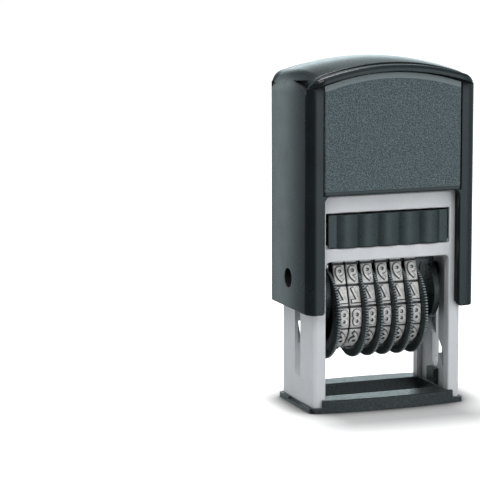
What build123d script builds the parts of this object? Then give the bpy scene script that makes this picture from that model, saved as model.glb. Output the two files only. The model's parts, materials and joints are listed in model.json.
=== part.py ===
"""Self-inking numbering machine: a sprung cap, a slotted frame and a flip-over carrier with six number bands.

Millimetres. X runs across the machine, -Y is its front, +Z is up. The origin is the middle of
the base's underside, on the paper. Every piece is written to parts/ as its own STEP file.
"""
from math import asin, atan2, cos, degrees, pi, radians, sin, sqrt
import os

from build123d import *

# ---------------------------------------------------------------- travel and fits
PRESS_TRAVEL = 19.15       # how far the cap goes down to print
PRINT_RISE = 7.3           # printing face above the flip axis
PAPER_GAP = 0.05           # printing face above the paper, with the cap down
WHEEL_DROP = 7.5           # wheel axle below the flip axis
RUN_FIT = 0.05             # radial clearance of a shaft that turns in its hole
SIDE_GAP = 0.1             # side clearance between neighbours that turn past each other
SEAT_GAP = 0.05            # clearance of a piece that sits in a pocket
OVERCUT = 1.0              # how far a cut runs past the face that it opens

# ---------------------------------------------------------------- cap
CAP_HALF_W = 18.25
CAP_HALF_D = 10.95
CAP_TOP_Z = 71.0
CAP_CORNER_R = 2.0
CAP_SIDE_WALL = 1.65
CAP_FRONT_WALL = 1.5
CAP_EDGE_R = 0.3           # softened rims of the legs and the roof
ROOF_ARCH_R = 49.2         # roof, seen from the front
ROOF_CROWN_R = 70.0        # roof, seen from the side
ROOF_CORNER_R = 4.6
ROOF_BACK = 1.45           # edge of the roof behind the front face
ROOF_THICK = 2.5
WALL_ARCH_R = 53.0         # top of the front wall and of the visor on it
LIP_OUT = 1.1              # visor past the front face
LIP_DROP = 1.0             # top of the visor below the roof's top
LIP_TALL = 1.35
LIP_ROUND_R = 0.9
LIP_CORNER_R = 3.6         # of its plan
LIP_END_R = 4.0            # of its ends, seen from the front
LEG_STRIP = 3.65           # width of the strips beside the window
LEG_CORNER_R = 0.7
LEG_RIM_WIDE = 1.0         # thicker inner edge of the strips
LEG_RIM_GAP = 0.25         # that edge to the frame
BROW_CORNER_R = 1.4
BROW_GAP = 0.35            # brow above the frame's upper crossbar
FOOT_CLEAR = 0.15          # legs above the base's ends, with the cap down
NOTCH_DEEP = 1.3           # undercut below the roof, on the sides
NOTCH_BACK_Y = -1.4
NOTCH_FRONT = 1.75         # its open end, behind the front face
NOTCH_BELOW = 4.4          # where the undercut runs out, below the roof's top
NOTCH_BEND = 0.6           # lower side of the undercut bends at this share of its length
NOTCH_BEND_DROP = 0.85
NOTCH_DROP = 2.0
NOTCH_RISE = 0.5
SEAT_DROP = 0.4            # spring seat below the roof's underside
SEAT_RIM = 1.0             # seat past the spring
SPIGOT_TALL = 2.4

# ---------------------------------------------------------------- label panels
PANEL_BORDER = 3.48        # side of the panel from the side of the cap
PANEL_DROP = 2.55          # top of the panel below the roof's top
PANEL_SHOULDER = 2.4       # fall of its top edge from the middle to the sides
PANEL_THICK = 0.8
PANEL_PROUD = 0.12
PANEL_RIM = 0.25           # groove round the panel
PANEL_EDGE_R = 0.3
PANEL_SLOPE_TALL = 1.1     # sloping band along its arched top
PANEL_SLOPE_DEEP = 0.25

# ---------------------------------------------------------------- frame
CAP_RUN_W = 0.4            # frame to the cap's side walls
CAP_RUN_D = 0.8            # frame to the cap's front and back walls
FRAME_FOOT_Z = 0.85        # underside of the frame's posts
FRAME_POST = 2.7           # thickness of the side walls
FRAME_CORNER_R = 1.0
FRAME_EDGE_R = 0.3
EAR_RISE = 1.5             # side walls above the upper crossbar
BAR_THICK = 1.65           # front and back crossbars, front to back
LOWER_BAR_TALL = 2.7
LOWER_BAR_DROP = 0.5       # lower crossbar's top below the printing face
UPPER_BAR_TALL = 3.5
TOP_PLATE_THICK = 1.6
WINDOW_CORNER_R = 1.0
POCKET_DEEP = 1.1          # thinned inner side of each side wall
POCKET_HALF_D = 6.5
POCKET_BELOW_BAR = 0.8
LEDGE_WIDE = 1.2           # rail that the ink cartridge slides on
LEDGE_GAP = 0.05
PEG_R = 3.3                # locates the return spring
PEG_TALL = 2.0

# ---------------------------------------------------------------- slots, pins and cam
PIN_R = 1.4                # shank of the axle pins
PIN_HEAD_R = 1.95
PIN_HEAD_INSET = 1.1
SLOT_CLEAR = 0.12
CAM_ARM = 4.6              # guide pin to flip axis
CAM_PIN_R = 0.9
CAM_CLEAR = 0.25
CAM_DEEP = 0.85
CAM_STEPS = 16

# ---------------------------------------------------------------- base
BASE_RIM_W = 0.7           # base past the frame at the sides
BASE_RIM_D = 0.3           # and at the front and back, in the corners
BASE_BOW = 1.35            # front and back bars stand out in the middle
BASE_TALL = 2.6
BASE_CORNER_R = 1.0
BASE_EDGE_R = 0.25
BASE_END_Z = 1.05          # the ends stay low, so that the cap's legs clear them
BASE_LEG_GAP = 0.25        # raised bars to the cap's legs
BASE_OPEN_RIM = 0.25       # opening inside the width of the frame's window
BASE_OPEN_HALF_D = 5.3
BASE_NOTCH_HALF_D = 3.4    # clip window in each end
BASE_NOTCH_Z = 0.6
CLIP_HALF_D = 1.8
CLIP_TOP_Z = 5.6

# ---------------------------------------------------------------- ink cartridge
PAD_GAP = 0.2              # printing face to the cartridge
TRAY_TALL = 6.1
TRAY_SIDE_GAP = 0.5        # cartridge to the sides of the window
TRAY_BAR_GAP = 0.3         # cartridge to the upper crossbar
TRAY_WALL = 1.1
GRIP_THICK = 0.45
GRIP_BAR_GAP = 0.2         # front grip to the lower crossbar
RIB_COUNT = 5
RIB_END = 1.75             # flat end of the grip beside the ribs
RIB_SAG = 0.55
PAD_DEEP = 3.5

# ---------------------------------------------------------------- bands and wheels
BAND_COUNT = 6
STACK_GAP = 0.205          # left cheek to the first finger disc
FIRST_GAP = 0.45           # between bands 1 and 2, which have no disc between them
SPACER_ROOM = 2.725        # last finger disc to the right cheek
DISC_THICK = 0.72
DISC_R = 9.6
DRUM_R = 6.5
TOOTH_COUNT = 70
TOOTH_DEEP = 0.3
TOOTH_RISE = 0.3           # start of a tooth's tip, as a share of its pitch
TOOTH_FALL = 0.7           # end of its tip
BELT_THICK = 0.65
PLATE_THICK = 0.7
PLATE_COUNT = 13
PLATE_GAP = 0.5
AXLE_R = 1.25
SPACER_WALL = 1.25

# ---------------------------------------------------------------- carrier
CHEEK_RUN = 0.7            # cheek to the side of the window
CHEEK_THICK = 1.4
CHEEK_R = 6.4
CHEEK_DROP = 4.0           # middle of the round part below the flip axis
CHEEK_EDGE_R = 0.35
ARM_HALF_D = 3.0
ARM_SHORT = 0.4            # end of the arm below the top of the anvil
ARM_CORNER_R = 1.0
LUG_WALL = 0.6             # round the guide pin
ANVIL_CLEAR = 0.5          # anvil to the finger discs
ANVIL_FLAT = 1.95          # half width of the flat that backs the printing plates
ANVIL_CORNER_R = 0.8
TENON_HALF_D = 1.6
TENON_TALL = 1.6
FIN_THICK = 0.5
FIN_PROUD = 1.1

# ---------------------------------------------------------------- spring
WIRE_R = 0.35
COIL_GAP = 0.6             # coil to the pegs inside it
COIL_TURNS = 6.5

# ---------------------------------------------------------------- places that follow from the sizes
FLIP_Z = PRESS_TRAVEL + PRINT_RISE + PAPER_GAP
WHEEL_Z = FLIP_Z - WHEEL_DROP
PRINT_Z = FLIP_Z + PRINT_RISE
ANVIL_TOP_Z = PRINT_Z - PLATE_THICK - BELT_THICK - SEAT_GAP
ANVIL_LOW_Z = WHEEL_Z + DISC_R + ANVIL_CLEAR
TRAY_Z = (PRINT_Z + PAD_GAP, PRINT_Z + PAD_GAP + TRAY_TALL)
LOWER_BAR_TOP = PRINT_Z - LOWER_BAR_DROP
LOWER_BAR_LOW = LOWER_BAR_TOP - LOWER_BAR_TALL
UPPER_BAR_LOW = TRAY_Z[1] + TRAY_BAR_GAP
UPPER_BAR_TOP = UPPER_BAR_LOW + UPPER_BAR_TALL
FRAME_EAR_Z = UPPER_BAR_TOP + EAR_RISE
CAP_BROW_Z = UPPER_BAR_TOP + BROW_GAP
CAP_FOOT_Z = PRESS_TRAVEL + BASE_END_Z + FOOT_CLEAR
CAP_WALL_X = CAP_HALF_W - CAP_SIDE_WALL
CAP_WALL_Y = CAP_HALF_D - CAP_FRONT_WALL
LEG_INNER_X = CAP_HALF_W - LEG_STRIP
SPRING_SEAT_Z = CAP_TOP_Z - ROOF_THICK - SEAT_DROP
ROOF_HALF_D = CAP_HALF_D - ROOF_BACK
LIP_HALF_D = CAP_HALF_D + LIP_OUT
LIP_TOP_Z = CAP_TOP_Z - LIP_DROP
LIP_LOW_Z = LIP_TOP_Z - LIP_TALL
COIL_R = PEG_R + COIL_GAP + WIRE_R
FRAME_HALF_W = CAP_WALL_X - CAP_RUN_W
FRAME_HALF_D = CAP_WALL_Y - CAP_RUN_D
WINDOW_HALF_W = FRAME_HALF_W - FRAME_POST
CHEEK_OUTER_X = WINDOW_HALF_W - CHEEK_RUN
CHEEK_INNER_X = CHEEK_OUTER_X - CHEEK_THICK
CHEEK_Z = FLIP_Z - CHEEK_DROP
TRAY_HALF_W = WINDOW_HALF_W - TRAY_SIDE_GAP
TRAY_HALF_D = FRAME_HALF_D - GRIP_THICK
STACK_ROOM = 2 * CHEEK_INNER_X - STACK_GAP - SPACER_ROOM - FIRST_GAP
DISC_ROOM = BAND_COUNT * (DISC_THICK + SIDE_GAP) + (BAND_COUNT - 2) * SIDE_GAP
BAND_WIDE = (STACK_ROOM - DISC_ROOM) / BAND_COUNT
BAND_PITCH = BAND_WIDE + DISC_THICK + 2 * SIDE_GAP


def band_x(number):
    """Middle of band 1 to 6 along X; band 1 stands close to band 2."""
    first = -CHEEK_INNER_X + STACK_GAP + DISC_THICK + SIDE_GAP + BAND_WIDE / 2
    if number == 1:
        return first
    return first + BAND_WIDE + FIRST_GAP + (number - 2) * BAND_PITCH


def disc_side(number):
    """The finger disc is left of band 1 and right of the others."""
    return -1 if number == 1 else 1


def block(x, y, z):
    """A box from its limits along each axis."""
    size = [high - low for low, high in (x, y, z)]
    middle = [(low + high) / 2 for low, high in (x, y, z)]
    return Pos(*middle) * Box(*size)


def rod_x(radius, x_low, x_high, y=0.0, z=0.0):
    """A round bar along X."""
    return extrude(Plane.YZ.offset(x_low) * Pos(y, z) * Circle(radius), x_high - x_low)


def both_sides(shape):
    """The shape and its mirror image across the machine."""
    return shape + mirror(shape, Plane.YZ)


# ---------------------------------------------------------------- cap
def arch_z(x, top_z, radius):
    """Height of a roof arch at a distance from the middle."""
    return top_z - radius + sqrt(radius ** 2 - x ** 2)


def arch_face(half_w, low_z, top_z, radius, corner_r):
    """Front view of the cap: straight sides under a shallow arch with round shoulders."""
    shoulder_z = arch_z(half_w, top_z, radius)
    outline = Polyline((-half_w, shoulder_z), (-half_w, low_z), (half_w, low_z), (half_w, shoulder_z))
    outline += ThreePointArc((half_w, shoulder_z), (0, top_z), (-half_w, shoulder_z))
    face = Plane.XZ * make_face(outline)
    shoulders = face.vertices().group_by(Axis.Z)[-1]
    return fillet(shoulders, corner_r)


def arch_block(half_w, half_d, low_z, top_z, radius, corner_r):
    """The arch outline, carried from front to back."""
    return extrude(arch_face(half_w, low_z, top_z, radius, corner_r), half_d, both=True)


def plan_block(half_w, half_d, corner_r, low_z, high_z):
    """An upright block with rounded corners."""
    plan = Pos(0, 0, low_z) * RectangleRounded(2 * half_w, 2 * half_d, corner_r)
    return extrude(plan, high_z - low_z)


def outside_slab(half_d):
    """Everything in front of and behind a depth."""
    slab = block((-2 * CAP_HALF_W, 2 * CAP_HALF_W), (half_d, CAP_TOP_Z), (0, 2 * CAP_TOP_Z))
    return slab + mirror(slab, Plane.XZ)


def roof():
    """Roof: the front arch swung about a low axis, so that it is crowned from front to back as well."""
    axis_z = CAP_TOP_Z - ROOF_CROWN_R
    reach = degrees(asin((ROOF_HALF_D + OVERCUT) / (CAP_BROW_Z - axis_z)))
    face = arch_face(CAP_HALF_W, CAP_BROW_Z, CAP_TOP_Z, ROOF_ARCH_R, ROOF_CORNER_R)
    centred = Pos(0, 0, -axis_z) * face
    swung = Pos(0, 0, axis_z) * (Rot(-reach, 0, 0) * revolve(centred, Axis.X, 2 * reach))
    body = swung - outside_slab(ROOF_HALF_D)
    rims = [
        edge
        for edge in body.edges()
        if edge.center().Z > LIP_TOP_Z and abs(edge.center().Y) > ROOF_HALF_D - SEAT_GAP
    ]
    return fillet(rims, CAP_EDGE_R)


def arched_wall(half_w, half_d, low_z, top_z, corner_r=SEAT_GAP):
    """A block with the flatter arch of the front wall."""
    return arch_block(half_w, half_d, low_z, top_z, WALL_ARCH_R, corner_r)


def visor():
    """Thin arched visors that stand out from the front and back walls, below the roof."""
    whole = arched_wall(CAP_HALF_W, LIP_HALF_D, CAP_BROW_Z, LIP_TOP_Z, LIP_END_R)
    whole &= plan_block(CAP_HALF_W, LIP_HALF_D, LIP_CORNER_R, 0, CAP_TOP_Z)
    whole -= arched_wall(CAP_HALF_W + LIP_OUT, LIP_HALF_D + OVERCUT, 0, LIP_LOW_Z)
    both = whole & outside_slab(ROOF_HALF_D - SEAT_GAP)
    rims = [
        edge
        for edge in both.edges()
        if edge.bounding_box().max.Z > LIP_TOP_Z - SEAT_GAP and abs(edge.center().Y) > CAP_HALF_D
    ]
    return fillet(rims, LIP_ROUND_R)


def side_notches():
    """Undercuts that open from mid-depth to the front corners, below the roof's shoulders."""
    front_y = -CAP_HALF_D + NOTCH_FRONT
    tip_z = CAP_TOP_Z - NOTCH_BELOW
    side_view = Polyline(
        (NOTCH_BACK_Y, tip_z),
        (NOTCH_BACK_Y + NOTCH_BEND * (front_y - NOTCH_BACK_Y), tip_z - NOTCH_BEND_DROP),
        (front_y, tip_z - NOTCH_DROP),
        (front_y, tip_z + NOTCH_RISE),
        close=True,
    )
    notch = extrude(Plane.YZ.offset(-CAP_HALF_W - OVERCUT) * make_face(side_view), NOTCH_DEEP + OVERCUT)
    return both_sides(notch)


def panel_face(grow):
    """Arched outline of a label panel, or of its recess when it grows by the groove."""
    half_w = CAP_HALF_W - PANEL_BORDER + grow
    top_z = CAP_TOP_Z - PANEL_DROP
    side_z = top_z - PANEL_SHOULDER
    low = (-half_w, CAP_BROW_Z), (half_w, CAP_BROW_Z)
    sides = Polyline((-half_w, side_z), *low, (half_w, side_z))
    top = ThreePointArc((half_w, side_z), (0, top_z + grow), (-half_w, side_z))
    return Plane.XZ * make_face(sides + top)


def panel_recess():
    """Pocket in the front face for the label panel."""
    front = CAP_HALF_D - PANEL_THICK + PANEL_PROUD - SEAT_GAP
    face = Pos(0, -front, 0) * panel_face(PANEL_RIM)
    return extrude(face, CAP_HALF_D)


def label_panel():
    """Plate in the front face that carries the label, with a sloping band along its arched top."""
    back = CAP_HALF_D - PANEL_THICK + PANEL_PROUD
    plate = extrude(Pos(0, -back, 0) * panel_face(0), PANEL_THICK)
    front = plate.faces().sort_by(Axis.Y)[0]
    arch = front.edges().sort_by(Axis.Z)[-1]
    plate = chamfer(arch, PANEL_SLOPE_TALL, PANEL_SLOPE_DEEP, reference=front)
    rim = plate.faces().sort_by(Axis.Y)[0].edges().sort_by(Axis.Z)[:-1]
    return fillet(rim, PANEL_EDGE_R)


def leg_rims():
    """Thicker inner edges of the strips beside both windows, above the legs' round lower corners."""
    inner_y = FRAME_HALF_D + LEG_RIM_GAP
    x_range = (LEG_INNER_X, LEG_INNER_X + LEG_RIM_WIDE)
    rim = block(x_range, (inner_y, CAP_WALL_Y + SIDE_GAP), (CAP_FOOT_Z + LEG_CORNER_R, CAP_BROW_Z))
    return both_sides(rim + mirror(rim, Plane.XZ))


def soften_cap(body):
    """Rounds the legs' lower corners, then the legs' lower rims."""
    legs = [
        edge
        for edge in body.edges().filter_by(Axis.Y)
        if abs(edge.center().Z - CAP_FOOT_Z) < SEAT_GAP and abs(edge.center().X) < LEG_INNER_X + SEAT_GAP
    ]
    body = fillet(legs, LEG_CORNER_R)
    feet = [edge for edge in body.edges() if edge.bounding_box().max.Z < CAP_FOOT_Z + SEAT_GAP]
    return fillet(feet, CAP_EDGE_R)


def cap_shell():
    """Cap: crowned roof, two side walls that reach down as legs, and an open front and back below the brow."""
    plan = plan_block(CAP_HALF_W, CAP_HALF_D, CAP_CORNER_R, CAP_FOOT_Z, CAP_TOP_Z + OVERCUT)
    shoulder_z = arch_z(CAP_HALF_W, CAP_TOP_Z, ROOF_ARCH_R) - ROOF_CORNER_R
    body = plan & block((-CAP_HALF_W, CAP_HALF_W), (-CAP_HALF_D, CAP_HALF_D), (CAP_FOOT_Z, shoulder_z))
    body += roof()
    body -= side_notches()
    walls = arched_wall(CAP_HALF_W, CAP_HALF_D, CAP_BROW_Z, LIP_LOW_Z + SIDE_GAP) & plan
    body += walls & outside_slab(ROOF_HALF_D - SEAT_GAP)
    body += visor()
    body -= arch_block(
        CAP_WALL_X,
        CAP_WALL_Y,
        CAP_FOOT_Z - OVERCUT,
        CAP_TOP_Z - ROOF_THICK,
        ROOF_ARCH_R - ROOF_THICK,
        ROOF_CORNER_R - ROOF_THICK,
    )
    leg_gap = RectangleRounded(2 * LEG_INNER_X, 2 * (CAP_BROW_Z - CAP_FOOT_Z), BROW_CORNER_R)
    body -= extrude(Plane.XZ * Pos(0, CAP_FOOT_Z) * leg_gap, LIP_HALF_D, both=True)
    recess = panel_recess()
    body -= recess + mirror(recess, Plane.XZ)
    seat_thick = SEAT_DROP + ROOF_THICK / 2
    body += Pos(0, 0, SPRING_SEAT_Z) * extrude(Circle(COIL_R + WIRE_R + SEAT_RIM), seat_thick)
    body += Pos(0, 0, SPRING_SEAT_Z - SPIGOT_TALL) * extrude(Circle(PEG_R), SPIGOT_TALL + seat_thick)
    pin_hole = rod_x(PIN_HEAD_R + SEAT_GAP / 2, -CAP_HALF_W - OVERCUT, -CAP_WALL_X + OVERCUT, z=FLIP_Z)
    return soften_cap(body - both_sides(pin_hole)) + leg_rims()


def axle_pins():
    """Two headed pins, held in the cap's side walls, that the carrier turns on."""
    pin = rod_x(PIN_HEAD_R, -CAP_HALF_W + PIN_HEAD_INSET, -CAP_WALL_X, z=FLIP_Z)
    pin += rod_x(PIN_R, -CAP_WALL_X, -CHEEK_INNER_X - SIDE_GAP, z=FLIP_Z)
    return both_sides(pin)


# ---------------------------------------------------------------- frame
def cam_point(turn, offset=0.0):
    """Centre of the guide pin, as (y, z), when the carrier has turned; offset moves it across its path."""
    y = CAM_ARM * cos(turn)
    z = FLIP_Z - PRESS_TRAVEL * turn / pi - CAM_ARM * sin(turn)
    along_y = -CAM_ARM * sin(turn)
    along_z = -PRESS_TRAVEL / pi - CAM_ARM * cos(turn)
    length = sqrt(along_y ** 2 + along_z ** 2)
    return (y - offset * along_z / length, z + offset * along_y / length)


def cam_groove():
    """Curved groove in a side wall that turns the carrier over as the cap goes down."""
    reach = CAM_PIN_R + CAM_CLEAR
    turns = [pi * step / CAM_STEPS for step in range(CAM_STEPS + 1)]
    one_side = Spline(*[cam_point(turn, reach) for turn in turns])
    other_side = Spline(*[cam_point(turn, -reach) for turn in turns])
    groove = make_face(
        one_side
        + Line(one_side @ 1, other_side @ 1)
        + other_side
        + Line(other_side @ 0, one_side @ 0)
    )
    for end in (0, pi):
        groove += Pos(*cam_point(end)) * Circle(reach)
    return groove


def side_wall_cuts():
    """Slot, thinned pocket and cam groove of the left side wall."""
    inner = -WINDOW_HALF_W
    floor = inner - POCKET_DEEP
    slot_r = PIN_R + SLOT_CLEAR
    low = FLIP_Z - PRESS_TRAVEL
    slot = block((-FRAME_HALF_W - OVERCUT, inner + OVERCUT), (-slot_r, slot_r), (low, FLIP_Z))
    for z in (low, FLIP_Z):
        slot += rod_x(slot_r, -FRAME_HALF_W - OVERCUT, inner + OVERCUT, z=z)
    pocket_top = LOWER_BAR_LOW - POCKET_BELOW_BAR
    pocket = block((floor, inner + OVERCUT), (-POCKET_HALF_D, POCKET_HALF_D), (0, pocket_top))
    pocket = fillet(pocket.edges().filter_by(Axis.X), WINDOW_CORNER_R)
    groove = extrude(Plane.YZ.offset(floor - CAM_DEEP) * cam_groove(), CAM_DEEP + OVERCUT)
    return slot + pocket + groove


def window(low_z, high_z, corner_r):
    """One opening through the frame from front to back."""
    face = RectangleRounded(2 * WINDOW_HALF_W, high_z - low_z, corner_r)
    return extrude(Plane.XZ * Pos(0, (low_z + high_z) / 2) * face, FRAME_HALF_D + OVERCUT, both=True)


def frame():
    """Frame: two slotted side walls, joined by crossbars and a top plate that carries the spring."""
    body = plan_block(FRAME_HALF_W, FRAME_HALF_D, FRAME_CORNER_R, FRAME_FOOT_Z, FRAME_EAR_Z)
    inner_d = FRAME_HALF_D - BAR_THICK
    beyond = FRAME_HALF_D + OVERCUT
    plate_low = UPPER_BAR_TOP - TOP_PLATE_THICK
    window_x = (-WINDOW_HALF_W, WINDOW_HALF_W)
    body -= block(window_x, (-inner_d, inner_d), (0, plate_low))
    body -= block(window_x, (-beyond, beyond), (UPPER_BAR_TOP, FRAME_EAR_Z + OVERCUT))
    body -= window(-LOWER_BAR_LOW, LOWER_BAR_LOW, WINDOW_CORNER_R)
    body -= window(LOWER_BAR_TOP, UPPER_BAR_LOW, SEAT_GAP)
    rims = [
        edge
        for edge in body.edges()
        if abs(abs(edge.center().Y) - FRAME_HALF_D) < SEAT_GAP and edge.bounding_box().size.Y < SEAT_GAP
    ]
    body = fillet(rims, FRAME_EDGE_R)
    body -= both_sides(side_wall_cuts())
    ledge_d = TRAY_HALF_D - 2 * SEAT_GAP
    ledge = block(
        (-WINDOW_HALF_W, -WINDOW_HALF_W + LEDGE_WIDE),
        (-ledge_d, ledge_d),
        (LOWER_BAR_TOP - LEDGE_WIDE, TRAY_Z[0] - LEDGE_GAP),
    )
    body += both_sides(ledge)
    return body + Pos(0, 0, plate_low) * extrude(Circle(PEG_R), TOP_PLATE_THICK + PEG_TALL)


def base_outline():
    """Plan of the base: straight ends and gently bowed front and back."""
    corner = (FRAME_HALF_W + BASE_RIM_W, FRAME_HALF_D + BASE_RIM_D)
    bow = corner[1] + BASE_BOW
    outline = Line((corner[0], -corner[1]), corner)
    outline += ThreePointArc(corner, (0, bow), (-corner[0], corner[1]))
    outline += Line((-corner[0], corner[1]), (-corner[0], -corner[1]))
    outline += ThreePointArc((-corner[0], -corner[1]), (0, -bow), (corner[0], -corner[1]))
    return fillet(make_face(outline).vertices(), BASE_CORNER_R)


def base_foot():
    """Base ring that clips on the posts and stands on the paper."""
    body = extrude(base_outline(), BASE_TALL)
    edge = body.faces().sort_by(Axis.Z)[-1].edges()
    body = fillet(edge, BASE_EDGE_R)
    above = BASE_TALL + OVERCUT
    open_x = WINDOW_HALF_W - BASE_OPEN_RIM
    body -= block((-open_x, open_x), (-BASE_OPEN_HALF_D, BASE_OPEN_HALF_D), (-OVERCUT, above))
    pocket_x = (WINDOW_HALF_W - SEAT_GAP, FRAME_HALF_W + SEAT_GAP)
    pocket_d = FRAME_HALF_D + SEAT_GAP
    pocket = block(pocket_x, (-pocket_d, pocket_d), (FRAME_FOOT_Z, above))
    beyond = FRAME_HALF_W + BASE_RIM_W + OVERCUT
    beyond_d = FRAME_HALF_D + BASE_RIM_D + BASE_BOW
    low_end = block((LEG_INNER_X - BASE_LEG_GAP, beyond), (-beyond_d, beyond_d), (BASE_END_Z, above))
    clip_window = block(
        (FRAME_HALF_W, beyond), (-BASE_NOTCH_HALF_D, BASE_NOTCH_HALF_D), (BASE_NOTCH_Z, above)
    )
    body -= both_sides(pocket + low_end + clip_window)
    clip_x = (WINDOW_HALF_W, WINDOW_HALF_W + POCKET_DEEP - SEAT_GAP)
    clip = block(clip_x, (-CLIP_HALF_D, CLIP_HALF_D), (0, CLIP_TOP_Z))
    return body + both_sides(clip)


def return_spring():
    """Compression spring between the frame's top plate and the cap's roof."""
    low = UPPER_BAR_TOP + WIRE_R + SEAT_GAP
    tall = SPRING_SEAT_Z - WIRE_R - SEAT_GAP - low
    path = Pos(0, 0, low) * Helix(tall / COIL_TURNS, tall, COIL_R)
    section = Plane(path @ 0, z_dir=path % 0) * Circle(WIRE_R)
    return sweep(section, path, is_frenet=True)


# ---------------------------------------------------------------- ink cartridge
def grip_face(y_plane):
    """Plan of one grip: a flat plate with round upright ribs."""
    half = TRAY_HALF_W - RIB_END
    pitch = 2 * half / RIB_COUNT
    outer = y_plane - GRIP_THICK
    outline = Polyline((-half, outer), (-TRAY_HALF_W, outer), (-TRAY_HALF_W, y_plane), (TRAY_HALF_W, y_plane))
    outline += Polyline((TRAY_HALF_W, y_plane), (TRAY_HALF_W, outer), (half, outer))
    for rib in range(RIB_COUNT):
        start = -half + rib * pitch
        outline += ThreePointArc(
            (start, outer), (start + pitch / 2, outer - RIB_SAG), (start + pitch, outer)
        )
    return make_face(outline)


def cartridge_tray():
    """Tray that holds the pad face down, with a ribbed grip at each end."""
    body = block((-TRAY_HALF_W, TRAY_HALF_W), (-TRAY_HALF_D, TRAY_HALF_D), TRAY_Z)
    wall_x = TRAY_HALF_W - TRAY_WALL
    wall_y = TRAY_HALF_D - TRAY_WALL
    body -= block((-wall_x, wall_x), (-wall_y, wall_y), (TRAY_Z[0] - OVERCUT, TRAY_Z[0] + PAD_DEEP))
    grip = grip_face(-TRAY_HALF_D)
    front_low = LOWER_BAR_TOP + GRIP_BAR_GAP
    front = Pos(0, 0, front_low) * extrude(grip, TRAY_Z[1] - front_low)
    back = Pos(0, 0, TRAY_Z[0]) * extrude(mirror(grip, Plane.XZ), TRAY_Z[1] - TRAY_Z[0])
    return body + front + back


def ink_pad():
    """Felt pad that fills the tray."""
    half_x = TRAY_HALF_W - TRAY_WALL - SEAT_GAP
    half_y = TRAY_HALF_D - TRAY_WALL - SEAT_GAP
    pad_z = (TRAY_Z[0] + SEAT_GAP, TRAY_Z[0] + PAD_DEEP - SEAT_GAP)
    return block((-half_x, half_x), (-half_y, half_y), pad_z)


# ---------------------------------------------------------------- carrier
def side_outline(drum_r, nose_r):
    """Side view of a loop round the wheel's drum and the anvil's two top corners, as a face."""
    nose_z = ANVIL_TOP_Z - ANVIL_CORNER_R
    rise = nose_z - WHEEL_Z
    apart = sqrt(ANVIL_FLAT ** 2 + rise ** 2)
    lean = asin((drum_r - nose_r) / apart) - atan2(ANVIL_FLAT, rise)
    out_y, out_z = cos(lean), sin(lean)
    drum = (drum_r * out_y, WHEEL_Z + drum_r * out_z)
    nose = (ANVIL_FLAT + nose_r * out_y, nose_z + nose_r * out_z)
    half = pi / 4 + lean / 2
    bend = (ANVIL_FLAT + nose_r * cos(half), nose_z + nose_r * sin(half))
    top = nose_z + nose_r
    outline = Line(drum, nose)
    outline += ThreePointArc(nose, bend, (ANVIL_FLAT, top))
    outline += Line((ANVIL_FLAT, top), (-ANVIL_FLAT, top))
    outline += ThreePointArc((-ANVIL_FLAT, top), (-bend[0], bend[1]), (-nose[0], nose[1]))
    outline += Line((-nose[0], nose[1]), (-drum[0], drum[1]))
    outline += ThreePointArc((-drum[0], drum[1]), (0, WHEEL_Z - drum_r), drum)
    return outline


def loop_edges(offset):
    """Outline of the band loop at a height above the drum and the anvil."""
    return side_outline(DRUM_R + offset, ANVIL_CORNER_R + offset)


def number_band(number):
    """Endless rubber belt with raised digit plates, parted by gaps."""
    outer = SEAT_GAP + BELT_THICK + PLATE_THICK
    plane = Plane.YZ.offset(band_x(number) - BAND_WIDE / 2)
    ring = make_face(loop_edges(outer)) - make_face(loop_edges(SEAT_GAP))
    band = extrude(plane * ring, BAND_WIDE)
    root = Wire(loop_edges(SEAT_GAP + BELT_THICK).edges())
    start = root.param_at_point(Vector(0, PRINT_Z - PLATE_THICK))
    for plate in range(PLATE_COUNT):
        share = (start + (plate + 0.5) / PLATE_COUNT) % 1
        point, way = root @ share, root % share
        gap = Rectangle(PLATE_GAP, 2 * PLATE_THICK)
        lift = Location((point.X, point.Y, 0), (0, 0, degrees(atan2(way.Y, way.X))))
        side = -1 if (point - Vector(0, WHEEL_Z)).cross(way).Z > 0 else 1
        cut = Pos(0, side * PLATE_THICK) * gap
        band -= extrude(plane * (lift * cut), BAND_WIDE)
    return band


def setting_wheel(number):
    """Drum that drives one band, with a toothed finger disc on one side."""
    side = disc_side(number)
    middle = band_x(number)
    drum_end = middle + side * BAND_WIDE / 2
    disc = (drum_end + side * SIDE_GAP, drum_end + side * (SIDE_GAP + DISC_THICK))
    drum_start = middle - side * BAND_WIDE / 2
    teeth = []
    for tooth in range(TOOTH_COUNT):
        for share, radius in ((0, DISC_R - TOOTH_DEEP), (TOOTH_RISE, DISC_R), (TOOTH_FALL, DISC_R)):
            turn = 2 * pi * (tooth + share) / TOOTH_COUNT
            teeth.append((radius * cos(turn), WHEEL_Z + radius * sin(turn)))
    rim = make_face(Polyline(*teeth, close=True))
    body = extrude(Plane.YZ.offset(min(disc)) * rim, DISC_THICK)
    body += rod_x(DRUM_R, min(drum_start, disc[0]), max(drum_start, disc[0]), z=WHEEL_Z)
    return body - rod_x(AXLE_R + RUN_FIT, -FRAME_HALF_W, FRAME_HALF_W, z=WHEEL_Z)


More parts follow.
